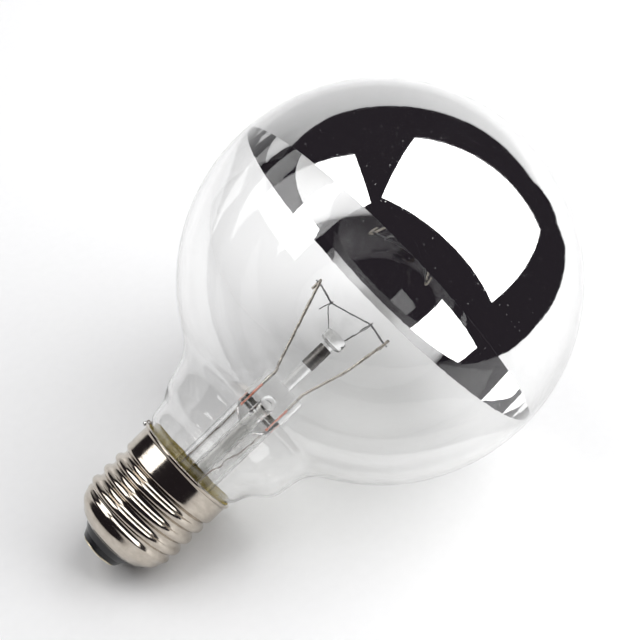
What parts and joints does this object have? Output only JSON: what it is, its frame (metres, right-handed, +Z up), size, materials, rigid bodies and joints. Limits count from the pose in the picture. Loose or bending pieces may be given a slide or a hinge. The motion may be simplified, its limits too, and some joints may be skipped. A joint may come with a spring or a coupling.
{
  "type": "light bulb",
  "caption": "Clear globe incandescent light bulb with a silvered crown, a stepped glass neck and an Edison screw cap, lying at rest on its side.",
  "frame": {"origin": "middle of the lying lamp's outline box, on the ground under it", "axes": "+Z up, the lamp's axis over +X with the crown towards +X and raised 26.3 degrees, +Y across the lamp"},
  "size_m": [0.13, 0.095, 0.095],
  "materials": {
    "clear_glass": "clear, polished",
    "silvering": "vapour-deposited silver behind glass",
    "nickel_plate": "bright nickel plate on brass",
    "black_glass": "opaque black poured glass",
    "contact_plate": "plated brass",
    "solder": "bright soft solder",
    "cement": "matt baked cement",
    "stem_glass": "clear, fire-polished",
    "nickel_wire": "bright nickel",
    "seal_wire": "oxidised copper-clad wire",
    "tinned_wire": "tinned wire",
    "molybdenum": "drawn wire",
    "tungsten": "coiled wire"
  },
  "bodies": {
    "root": {"globe": "clear_glass", "mirror_crown": "silvering", "cap_shell": "nickel_plate", "cap_insulator": "black_glass", "centre_contact": "contact_plate", "contact_solder": "solder", "side_solder": "solder", "cap_cement": "cement", "stem_flare": "stem_glass", "exhaust_tube": "stem_glass", "support_rod": "stem_glass", "rod_sleeve": "nickel_wire", "seal_wire_left": "seal_wire", "seal_wire_right": "seal_wire", "inner_lead_left": "nickel_wire", "inner_lead_right": "nickel_wire", "outer_lead_left": "tinned_wire", "outer_lead_right": "tinned_wire", "anchor_left": "molybdenum", "anchor_right": "molybdenum", "filament": "tungsten"}
  },
  "joints": []
}
